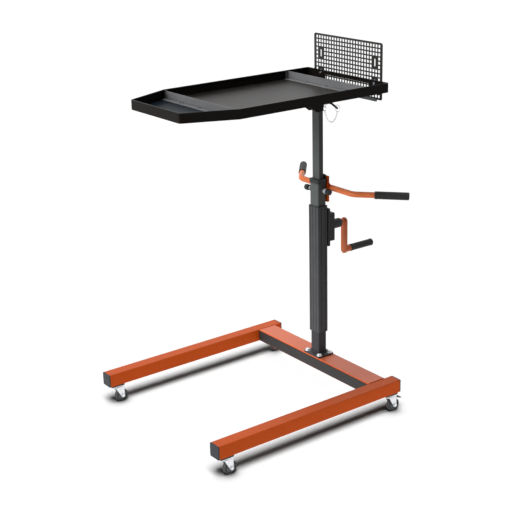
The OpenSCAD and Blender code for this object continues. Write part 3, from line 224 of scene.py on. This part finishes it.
def finish_of(name, base, rough, metal=0.0, tone=0.12, patch=9.0, grain=420.0, grain_depth=0.00006,
              wear_and_highlight=None, wear_and_highlight_share=0.35, edge=0.0012, dust_and_sheen=0.0, coat=0.0, stretch=(1, 1, 1), rough_range=0.1,
              specular=0.5, sheen=0.0, top=None, top_painted_light=None, painted_corner_shade=0.5, painted_shade_reach=0.010, shaded_bays=None):
    """A finish with tone patches, grain, rounded edges, edge marks of wear and painted highlight, dust and
    painted sheen on what faces up, and painted shade in corners.

    Faces that look up have the gloss top, the painted light top_painted_light and the clear coat. Corners
    narrower than painted_shade_reach get painted shade of strength painted_corner_shade. shaded_bays is
    (middle, half length) along Y: floors beyond it get painted shade, darker and bluish with less gloss.
    """
    m = bpy.data.materials.new(name)
    tree = tree_of(m)
    where = add(tree, "ShaderNodeTexCoord").outputs["Object"]
    drawn = add(tree, "ShaderNodeMapping", {"Vector": where, "Scale": stretch}).outputs[0]
    patches = noise(tree, where, Scale=patch, Detail=5.0, Roughness=0.6)
    grains = noise(tree, drawn, Scale=grain, Detail=3.0)
    bevel = add(tree, "ShaderNodeBevel", {"Radius": edge}, samples=4).outputs[0]
    normal = add(tree, "ShaderNodeNewGeometry").outputs["Normal"]
    along = add(tree, "ShaderNodeVectorMath", {0: bevel, 1: normal}, operation="DOT_PRODUCT").outputs["Value"]
    rim = ramp(tree, along, 0.995, 0.86)
    dark = tuple(c * (1 - tone) for c in base)
    light = tuple(min(1, c * (1 + tone) + 0.002) for c in base)
    colour = mix(tree, ramp(tree, patches, 0.34, 0.66), dark, light)
    colour = mix(tree, times(tree, ramp(tree, grains, 0.35, 0.7), 0.3), colour, light)
    # Edge marks: wear on most finishes, and a painted highlight on the dividers' edges
    if wear_and_highlight:
        scuff = noise(tree, where, Scale=55.0, Detail=6.0, Roughness=0.7)
        share = times(tree, rim, ramp(tree, scuff, 0.38, 0.62), clamp=True)
        colour = mix(tree, times(tree, share, wear_and_highlight_share), colour, wear_and_highlight)
    facing = add(tree, "ShaderNodeSeparateXYZ", {0: normal}).outputs["Z"]
    upward = ramp(tree, facing, TOP_FROM, TOP_FULL)
    if top is not None:
        specular = ramp(tree, facing, TOP_FROM, TOP_FULL, specular, top)
    # Painted shade: the tray's floors beyond the middle bay are painted darker and bluish, and their gloss is
    # cut
    if shaded_bays:
        middle, half_length = shaded_bays
        along_y = add(tree, "ShaderNodeSeparateXYZ", {0: where}).outputs["Y"]
        from_middle = math_node(tree, "ABSOLUTE", math_node(tree, "SUBTRACT", along_y, middle))
        bay_shade_share = times(tree, ramp(tree, from_middle, half_length, half_length + BAY_EDGE), upward)
        dulled = math_node(tree, "SUBTRACT", 1.0, times(tree, bay_shade_share, BAY_DULLING))
        specular = times(tree, specular, dulled)
    if coat:
        coat = times(tree, upward, coat)
    # Dust and painted sheen: faces that look up are paled in patches toward a light grey, partly dust and
    # partly the sheen of light on tops
    if dust_and_sheen:
        dust_and_sheen_share = times(tree, ramp(tree, facing, 0.4, 1), ramp(tree, patches, 0.3, 0.75))
        colour = mix(tree, times(tree, dust_and_sheen_share, dust_and_sheen), colour, DUST_AND_SHEEN)
    # Painted light and shade on faces that look up: another colour, darker on the legs' tops and paler on the
    # crossbar's
    if top_painted_light:
        colour = mix(tree, times(tree, upward, TOP_COVER), colour, top_painted_light)
    if shaded_bays:
        colour = mix(tree, times(tree, bay_shade_share, TOP_COVER), colour, BAY_PAINTED_SHADE)
    # Painted shade: surfaces near others, in corners and creases, are darkened toward a fifth of their colour
    corner_occlusion = add(tree, "ShaderNodeAmbientOcclusion", {"Distance": painted_shade_reach}, samples=8).outputs["AO"]
    painted_corner_share = times(tree, ramp(tree, corner_occlusion, 0.9, 0.35), painted_corner_shade)
    colour = mix(tree, painted_corner_share, colour, tuple(c * 0.2 for c in base))
    bump = add(tree, "ShaderNodeBump", {"Height": grains, "Strength": BUMP_STRENGTH,
               "Distance": grain_depth * 10, "Normal": bevel}).outputs[0]
    roughness = math_node(tree, "ADD", rough - rough_range / 2, times(tree, patches, rough_range), clamp=True)
    shader = add(tree, "ShaderNodeBsdfPrincipled", {
        "Base Color": colour, "Roughness": roughness, "Metallic": metal, "Normal": bump,
        "Specular IOR Level": specular, "Coat Weight": coat, "Coat Roughness": COAT_ROUGHNESS,
        "Sheen Weight": sheen})
    add(tree, "ShaderNodeOutputMaterial", {"Surface": shader.outputs[0]})
    return m


M = {
    # Painted shade: the legs' and bar plate's tops take a darker colour
    "orange": finish_of("orange_coat", (0.82, 0.108, 0.004), 0.5, tone=0.04, grain=900,
                        wear_and_highlight=(0.85, 0.34, 0.16), wear_and_highlight_share=0.4, dust_and_sheen=0.02, edge=0.0022,
                        grain_depth=0.00002, specular=0.12, top=0.3, top_painted_light=(0.60, 0.090, 0.008)),
    # A copy of the orange coat for the crossbar, with painted sheen: a paler colour on its top
    "cross": finish_of("crossbar_coat", (0.82, 0.108, 0.004), 0.5, tone=0.04, grain=900,
                       wear_and_highlight=(0.85, 0.34, 0.16), wear_and_highlight_share=0.4, dust_and_sheen=0.03, edge=0.0022, grain_depth=0.00002,
                       specular=0.12, top=0.5, coat=0.5, top_painted_light=(0.74, 0.145, 0.045)),
    # A lighter copy of the orange coat for handlebar and crank: partly their own lighter tone, partly painted
    # light
    "bar": finish_of("handle_coat", (0.94, 0.225, 0.068), 0.42, tone=0.04, grain=900,
                     wear_and_highlight=(0.9, 0.45, 0.25), wear_and_highlight_share=0.5, dust_and_sheen=0.03, edge=0.0014, grain_depth=0.00002,
                     specular=0.3, top=0.35, coat=0.1),
    # The column's grooves get strong painted shade
    "column": finish_of("column_paint", (0.098, 0.101, 0.107), 0.44, tone=0.08, wear_and_highlight=(0.26, 0.27, 0.28),
                        dust_and_sheen=0.03, stretch=(1, 1, 0.05), grain=260, grain_depth=0.00003, edge=0.0008,
                        specular=0.08, top=0.3, painted_corner_shade=1.0, painted_shade_reach=0.005),
    "inner": finish_of("inner_paint", (0.146, 0.160, 0.152), 0.44, tone=0.08, wear_and_highlight=(0.24, 0.25, 0.25),
                       dust_and_sheen=0.03, stretch=(1, 1, 0.05), grain=260, grain_depth=0.00003, edge=0.0014,
                       specular=0.05, top=0.3),
    "post": finish_of("post_paint", (0.056, 0.056, 0.060), 0.42, tone=0.08, wear_and_highlight=(0.22, 0.23, 0.25),
                      dust_and_sheen=0.03, edge=0.002, grain_depth=0.00003, specular=0.10, top=0.3),
    "black": finish_of("black_coat", (0.0110, 0.0090, 0.0072), 0.36, tone=0.12, wear_and_highlight=(0.16, 0.15, 0.14),
                       grain=1100, grain_depth=0.00002, dust_and_sheen=0.02, edge=0.0012, wear_and_highlight_share=0.8,
                       specular=0.05, top=0.18, shaded_bays=MIDDLE_BAY),
    # Its pale edge marks are a painted highlight along the dividers' edges
    "divider": finish_of("divider_coat", (0.18, 0.182, 0.186), 0.42, tone=0.08, wear_and_highlight=(0.5, 0.46, 0.40),
                         grain=1100, grain_depth=0.00002, dust_and_sheen=0.03, edge=0.0012, wear_and_highlight_share=0.9,
                         specular=0.3),
    "strip": finish_of("strip_paint", (0.034, 0.033, 0.032), 0.5, tone=0.08, wear_and_highlight=(0.2, 0.2, 0.2),
                       edge=0.0008, specular=0.2),
    "panel": finish_of("panel_coat", (0.023, 0.024, 0.021), 0.5, specular=0.2, tone=0.10,
                       wear_and_highlight=(0.3, 0.3, 0.29), grain=1300, edge=0.0005),
    "teal": finish_of("rail_paint", (0.17, 0.205, 0.20), 0.45, tone=0.08, wear_and_highlight=(0.5, 0.52, 0.52),
                      edge=0.0008),
    "plastic": finish_of("cap_plastic", (0.020, 0.024, 0.027), 0.5, tone=0.10, wear_and_highlight=(0.13, 0.14, 0.15),
                         grain=1600, dust_and_sheen=0.04, edge=0.0016, specular=0.3),
    "housing": finish_of("housing_paint", (0.012, 0.0115, 0.0105), 0.4, tone=0.2, wear_and_highlight=(0.24, 0.24, 0.23),
                         edge=0.0018, specular=0.2, patch=40, wear_and_highlight_share=0.6, painted_shade_reach=0.02),
    "rubber": finish_of("grip_rubber", (0.016, 0.015, 0.0145), 0.58, tone=0.12, grain=1500,
                        grain_depth=0.00005, dust_and_sheen=0.03, edge=0.0016, sheen=0.05, specular=0.25),
    "ivory": finish_of("guide_plastic", (0.62, 0.58, 0.48), 0.45, tone=0.05, edge=0.0008),
    "zinc": finish_of("zinc_plate", (0.77, 0.79, 0.81), 0.30, metal=1.0, tone=0.10, patch=60, grain=900,
                      wear_and_highlight=(0.9, 0.9, 0.9), edge=0.0007, rough_range=0.18, painted_corner_shade=0.5, painted_shade_reach=0.02),
    "bolt": finish_of("bolt_zinc", (0.70, 0.76, 0.84), 0.26, metal=1.0, tone=0.12, patch=90, grain=900,
                      wear_and_highlight=(0.95, 0.95, 0.95), edge=0.0009, rough_range=0.15, painted_corner_shade=0.2),
    "steel": finish_of("bright_steel", (0.55, 0.55, 0.56), 0.26, metal=1.0, tone=0.10, patch=40,
                       edge=0.0006),
    "bronze": finish_of("bush_bronze", (0.55, 0.36, 0.14), 0.35, metal=1.0, tone=0.08, edge=0.0005),
    "lining": finish_of("brake_lining", (0.07, 0.055, 0.045), 0.8, tone=0.2, grain=700),
    "blackened": finish_of("blackened_steel", (0.022, 0.021, 0.020), 0.36, tone=0.12,
                           wear_and_highlight=(0.35, 0.34, 0.33), edge=0.001, specular=0.6),
    "hub": finish_of("wheel_plastic", (0.30, 0.31, 0.32), 0.45, tone=0.08, wear_and_highlight=(0.5, 0.5, 0.5),
                     edge=0.0009, dust_and_sheen=0.06),
    "tyre": finish_of("tyre_rubber", (0.024, 0.025, 0.027), 0.6, tone=0.14, wear_and_highlight=(0.16, 0.16, 0.16),
                      edge=0.0014, dust_and_sheen=0.08, sheen=0.1, grain=1100),
    "pedal": finish_of("pedal_plastic", (0.045, 0.045, 0.045), 0.5, tone=0.1, wear_and_highlight=(0.2, 0.2, 0.2),
                       edge=0.0008),
}

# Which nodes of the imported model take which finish
PAINT = {
    "orange": ["leg_left", "leg_right", "bar_plate"],
    "cross": ["crossbar"],
    "bar": ["crank_arm", "handlebar"],
    "column": ["outer_column"],
    "inner": ["inner_column", "upper_tube"],
    "post": ["base_post"],
    "strip": ["crossbar_strip"],
    "black": ["tray_bracket", "tray"],
    "divider": ["front_divider", "rear_divider"],
    "panel": ["tool_panel"],
    "teal": ["panel_rail"],
    "plastic": ["leg_caps", "column_collar", "column_guides", "crank_hub", "clamp_knob_left",
                "clamp_knob_right", "caster_pads"],
    "housing": ["gearbox_plate", "gearbox_housing"],
    "rubber": ["bar_grip_left", "bar_grip_right", "crank_grip"],
    "ivory": ["slide_guide", "mast_guide", "upper_guide"],
    "bolt": ["base_bolts", "column_screws", "bar_bolts", "crank_nut", "tray_bolts"],
    "zinc": ["caster_plates", "pin_anchor", "pin_chain", "pin_ring", "fork_front_left", "fork_front_right",
             "fork_rear_left", "fork_rear_right"],
    "steel": ["lift_rack", "pinion_shaft"],
    "bronze": ["shaft_bushes"],
    "lining": ["brake_disc"],
    "blackened": ["lock_pin"],
    "hub": ["wheel_front_left", "wheel_front_right", "wheel_rear_left", "wheel_rear_right"],
    "tyre": ["tyre_front_left", "tyre_front_right", "tyre_rear_left", "tyre_rear_right"],
    "pedal": ["brake_pedal_left", "brake_pedal_right"],
}
for key, names in PAINT.items():
    for name in names:
        mesh = nodes[name].data
        if not mesh.materials:
            mesh.materials.append(M[key])
        for i in range(len(mesh.materials)):
            mesh.materials[i] = M[key]

# Edges that turn by more than this stay sharp
SHARP = math.radians(38)


# Mesh helpers; all lengths in metres, in the part's frame
def piece(name, vertices, faces, material_key, body, replaced=()):
    mesh = bpy.data.meshes.new(name)
    mesh.from_pydata([tuple(v) for v in vertices], [], faces)
    mesh.update()
    mesh.materials.append(M[material_key])
    bm = bmesh.new()
    bm.from_mesh(mesh)
    bmesh.ops.recalc_face_normals(bm, faces=bm.faces)
    for edge in bm.edges:
        edge.smooth = len(edge.link_faces) != 2 or edge.calc_face_angle(0) < SHARP
    for face in bm.faces:
        face.smooth = True
    bm.to_mesh(mesh)
    bm.free()
    obj = bpy.data.objects.new(name, mesh)
    bpy.context.scene.collection.objects.link(obj)
    if body:
        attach(obj, body)
    if replaced:
        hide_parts(*replaced)
    return obj


def ring_faces(rings, sides, closed=False):
    """Faces between rings of vertices, with a cap at both ends unless the last ring meets the first."""
    faces = []
    for i in range(rings if closed else rings - 1):
        j = (i + 1) % rings
        for k in range(sides):
            m = (k + 1) % sides
            faces.append((i * sides + k, i * sides + m, j * sides + m, j * sides + k))
    if not closed:
        faces.append(tuple(range(sides))[::-1])
        faces.append(tuple((rings - 1) * sides + k for k in range(sides)))
    return faces


def sweep(path, radius, sides=8, closed=False):
    """A tube along a path; radius is one number or one for each point."""
    n = len(path)
    path = [Vector(p) for p in path]
    radii = radius if isinstance(radius, list) else [radius] * n
    vertices = []
    normal = None
    for i, p in enumerate(path):
        a = path[(i - 1) % n] if closed or i else p
        b = path[(i + 1) % n] if closed or i < n - 1 else p
        forward = (b - a).normalized()
        if normal is None:
            normal = forward.orthogonal().normalized()
        normal = (normal - forward * normal.dot(forward)).normalized()
        side = forward.cross(normal)
        for k in range(sides):
            angle = 2 * math.pi * k / sides
            vertices.append(p + radii[i] * (math.cos(angle) * normal + math.sin(angle) * side))
    return vertices, ring_faces(n, sides, closed)


def lathe(profile, origin, axis, segments):
    """A turned form; profile is (radius, distance along the axis), and 6 segments make a nut."""
    origin, axis = Vector(origin), Vector(axis).normalized()
    u = axis.orthogonal().normalized()
    if abs(axis.z) < 0.5:
        u = axis.cross(Vector((0, 0, 1))).normalized()
    v = axis.cross(u)
    vertices = []
    for r, d in profile:
        for k in range(segments):
            angle = 2 * math.pi * k / segments
            vertices.append(origin + axis * d + r * (math.cos(angle) * u + math.sin(angle) * v))
    return vertices, ring_faces(len(profile), segments)


def join(parts):
    """One mesh of several."""
    vertices, faces = [], []
    for v, f in parts:
        start = len(vertices)
        vertices += v
        faces += [tuple(i + start for i in face) for face in f]
    return vertices, faces


# Chain between the eye's ring and the lock pin's ring: links on a catenary, as in the source
wire, link_r, half_run, link_gap, count = 0.0014, 0.0026, 0.0015, 0.0009, 17
eye_x, split_y, split_z, split_r = 0.015, 0.022, 1.09745, 0.008
handle_run, handle_y, pin_z, ring_r = 0.042, 0.062, 1.112, 0.013
droop = math.radians(22)
hook = (wire + link_gap) / 2
first = Vector((eye_x, split_y + COLUMN_Y, split_z - split_r + hook))
last = Vector((handle_run * math.cos(droop), handle_y + COLUMN_Y,
               pin_z - handle_run * math.sin(droop) - ring_r + hook))
pitch_l = 2 * half_run + 2 * link_r - wire - link_gap
half = count * pitch_l / 2
span = (last - first).xy.length
low, high = span / 20, span
for _ in range(50):
    a = (low + high) / 2
    low, high = (a, high) if a * math.sinh(span / 2 / a) > half else (low, a)
sag = math.hypot(a, half)


def chain_point(i):
    """Where link i begins, along the hanging chain."""
    s = i * pitch_l - half
    share = a * math.asinh(s / a) / span + 0.5
    return first.lerp(last, share) + Vector((0, 0, math.hypot(a, s) - sag))


# Links stand by turns upright and across
LOOP_POINTS = 28
across = Vector((-(last - first).y, (last - first).x, 0)).normalized()
links = []
for i in range(count):
    p, q = chain_point(i), chain_point(i + 1)
    x = (q - p).normalized()
    side = x.cross(across) if i % 2 == 0 else across
    loop = []
    for k in range(LOOP_POINTS):
        angle = 2 * math.pi * k / LOOP_POINTS
        shift = half_run if math.cos(angle) > 0 else -half_run
        loop.append((p + q) / 2 + x * (shift + link_r * math.cos(angle)) + side * (link_r * math.sin(angle)))
    links.append(sweep(loop, wire / 2, 8, closed=True))
v, f = join(links)
chain = piece("chain_links", v, f, "zinc", None, replaced=("pin_chain",))
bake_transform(chain)


def bead(name, path, r, key, closed=False):
    """A weld along a seam of the base frame: its radius swells and shrinks like a row of drops."""
    points = []
    total = len(path)
    for i in range(total if closed else total - 1):
        p, q = Vector(path[i]), Vector(path[(i + 1) % total])
        steps = max(2, int((q - p).length / (r * 0.45)))
        points += [p.lerp(q, k / steps) for k in range(steps)]
    if not closed:
        points.append(Vector(path[-1]))
    radii = [r * (0.86 + 0.14 * math.sin(i * 2.1) + 0.05 * math.sin(i * 0.7))
             for i in range(len(points))]
    v, f = sweep(points, radii, 8, closed)
    piece(name, v, f, key, "base")


# Welds between legs and crossbar, up its sides and across its top, and round the post's foot
leg_in, seam_y, seam_low, seam_high = 0.335, 0.0405, 0.082, 0.124
top_y, top_z = 0.036, 0.1282
for s, word in ((-1, "left"), (1, "right")):
    x = s * leg_in
    for y, end in ((-seam_y, "_front"), (seam_y, "_rear")):
        bead("weld_leg_" + word + end, [(x, y + COLUMN_Y, seam_low), (x, y + COLUMN_Y, seam_high)], 0.0018,
             "orange")
    bead("weld_top_" + word, [(x, -top_y + COLUMN_Y, top_z), (x, top_y + COLUMN_Y, top_z)], 0.0014,
         "orange")
w, d, z = 0.0245, 0.0195, 0.1345
foot = [(-w, -d + COLUMN_Y, z), (w, -d + COLUMN_Y, z), (w, d + COLUMN_Y, z), (-w, d + COLUMN_Y, z)]
bead("weld_post", foot, 0.0022, "post", closed=True)


def screw_head(centre, axis, r, h):
    """A domed head with a round recess."""
    return lathe([(r, 0.0), (r, h * 0.45), (r * 0.86, h * 0.8), (r * 0.58, h), (r * 0.5, h),
                  (r * 0.46, h * 0.5), (r * 0.1, h * 0.46)], centre, axis, 24)


# Screws in the corners of the gearbox: node, distance from the corner across and up, radius of the head
GEARBOX_SCREWS = (("gearbox_housing", 0.008, 0.008, 0.0032), ("gearbox_plate", 0.012, 0.009, 0.004))
screws = []
for name, inset_x, inset_z, r in GEARBOX_SCREWS:
    low_corner, high_corner = (Vector(c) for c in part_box(name))
    for x in (low_corner.x + inset_x, high_corner.x - inset_x):
        for z in (low_corner.z + inset_z, high_corner.z - inset_z):
            screws.append(screw_head((x, high_corner.y + 0.0001, z), (0, 1, 0), r, r * 0.7))
v, f = join(screws)
piece("gearbox_screws", v, f, "zinc", "base")

# Washer and nut on each clamp screw, and the nut that holds the chain's eye
CLAMP_WASHER = [(0.0043, 0.0324), (0.0096, 0.0324), (0.0099, 0.0330), (0.0096, 0.0340), (0.0043, 0.0340)]
CLAMP_NUT = [(0.0043, 0.0343), (0.0066, 0.0343), (0.0073, 0.0350), (0.0073, 0.0384), (0.0064, 0.0392),
             (0.0043, 0.0392)]
EYE_WASHER = [(0.0018, 0.0002), (0.0052, 0.0002), (0.0054, 0.0008), (0.0052, 0.0013), (0.0018, 0.0013)]
EYE_NUT = [(0.0018, 0.0015), (0.0036, 0.0015), (0.0042, 0.0020), (0.0042, 0.0040), (0.0034, 0.0045),
           (0.0018, 0.0045)]
clamp_low, clamp_high = (Vector(c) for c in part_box("clamp_knob_right"))
clamp_at = (clamp_low + clamp_high) / 2
for s, word in ((1, "right"), (-1, "left")):
    at = (0, clamp_at.y, clamp_at.z) if s > 0 else (0, 2 * COLUMN_Y - clamp_at.y, clamp_at.z)
    v, f = join([lathe(CLAMP_WASHER, at, (s, 0, 0), 32), lathe(CLAMP_NUT, at, (s, 0, 0), 6)])
    piece("clamp_nut_" + word, v, f, "zinc", "clamp_" + word)
bracket_face, eye_z = COLUMN_Y + 0.0125, 1.108
eye_at = (eye_x, bracket_face, eye_z)
v, f = join([lathe(EYE_WASHER, eye_at, (0, 1, 0), 24), lathe(EYE_NUT, eye_at, (0, 1, 0), 6)])
piece("eye_nut", v, f, "zinc", "mast")

# Washers under the base bolts, and domed centres on their heads
BOLT_WASHER = [(0.0052, 0.0002), (0.0104, 0.0002), (0.0108, 0.0007), (0.0104, 0.0016), (0.0052, 0.0016)]
BOLT_DOME = [(0.0079, 0.0062), (0.0077, 0.0069), (0.0066, 0.0080), (0.0042, 0.0088), (0.0015, 0.0091)]
bolt_x, bolt_y, base_top = 0.035, 0.0265, 0.134
washers = []
for x in (-bolt_x, bolt_x):
    for y in (-bolt_y, bolt_y):
        at = (x, y + COLUMN_Y, base_top)
        washers.append(lathe(BOLT_WASHER, at, (0, 0, 1), 36))
        washers.append(lathe(BOLT_DOME, at, (0, 0, 1), 30))
v, f = join(washers)
piece("base_washers", v, f, "zinc", "base")
